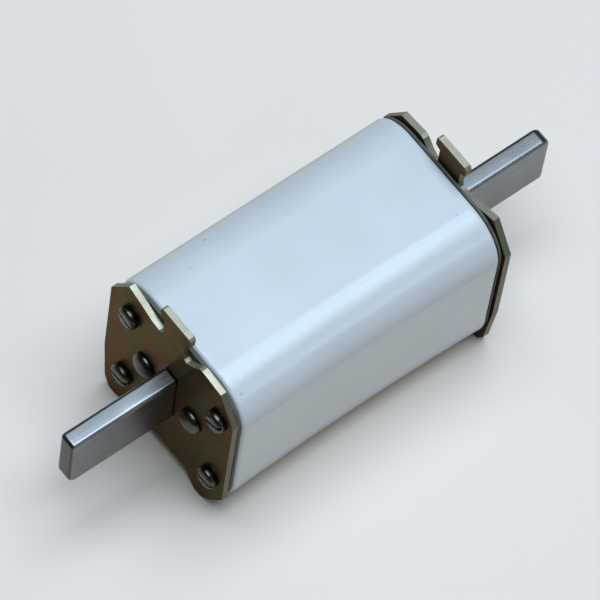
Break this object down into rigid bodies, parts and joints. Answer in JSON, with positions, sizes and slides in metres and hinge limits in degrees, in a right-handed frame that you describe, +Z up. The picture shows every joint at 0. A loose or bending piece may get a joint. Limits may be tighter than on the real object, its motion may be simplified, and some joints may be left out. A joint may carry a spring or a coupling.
{
  "type": "cartridge fuse",
  "caption": "Square-bodied knife-blade cartridge fuse: a white porcelain tube between steel end plates with gripping lugs, and a flat blade out of each end.",
  "frame": {"origin": "centre of the bounding box's base, at the feet of the end plates", "axes": "+X along the fuse towards the rear blade, +Z up towards the gripping lugs, +Y across the body"},
  "size_m": [0.125, 0.0416, 0.0539],
  "materials": {
    "porcelain": "glossy white glaze",
    "chromated_steel": "yellow-chromated zinc plate on steel, olive to reddish brown",
    "gasket_fibre": "dark grey ceramic fibre sheet",
    "disc_brass": "plain machined brass",
    "blade_plating": "grey plated copper alloy, satin",
    "fastener_steel": "bright zinc-plated steel heads",
    "element_copper": "rolled copper strip",
    "overload_tin": "tin solder",
    "filler_sand": "packed quartz sand"
  },
  "bodies": {
    "root": {"ceramic_body": "porcelain", "end_plate_front": "chromated_steel", "gasket_front": "gasket_fibre", "contact_disc_front": "disc_brass", "knife_blade_front": "blade_plating", "blade_rivet_front_1": "fastener_steel", "blade_rivet_front_2": "fastener_steel", "cover_screw_front_1": "fastener_steel", "cover_screw_front_2": "fastener_steel", "cover_screw_front_3": "fastener_steel", "cover_screw_front_4": "fastener_steel", "end_plate_rear": "chromated_steel", "gasket_rear": "gasket_fibre", "contact_disc_rear": "disc_brass", "knife_blade_rear": "blade_plating", "blade_rivet_rear_1": "fastener_steel", "blade_rivet_rear_2": "fastener_steel", "cover_screw_rear_1": "fastener_steel", "cover_screw_rear_2": "fastener_steel", "cover_screw_rear_3": "fastener_steel", "cover_screw_rear_4": "fastener_steel", "fuse_element_1": "element_copper", "fuse_element_2": "element_copper", "fuse_element_3": "element_copper", "fuse_element_4": "element_copper", "overload_spot_1": "overload_tin", "overload_spot_2": "overload_tin", "overload_spot_3": "overload_tin", "overload_spot_4": "overload_tin", "quartz_sand": "filler_sand"}
  },
  "joints": []
}
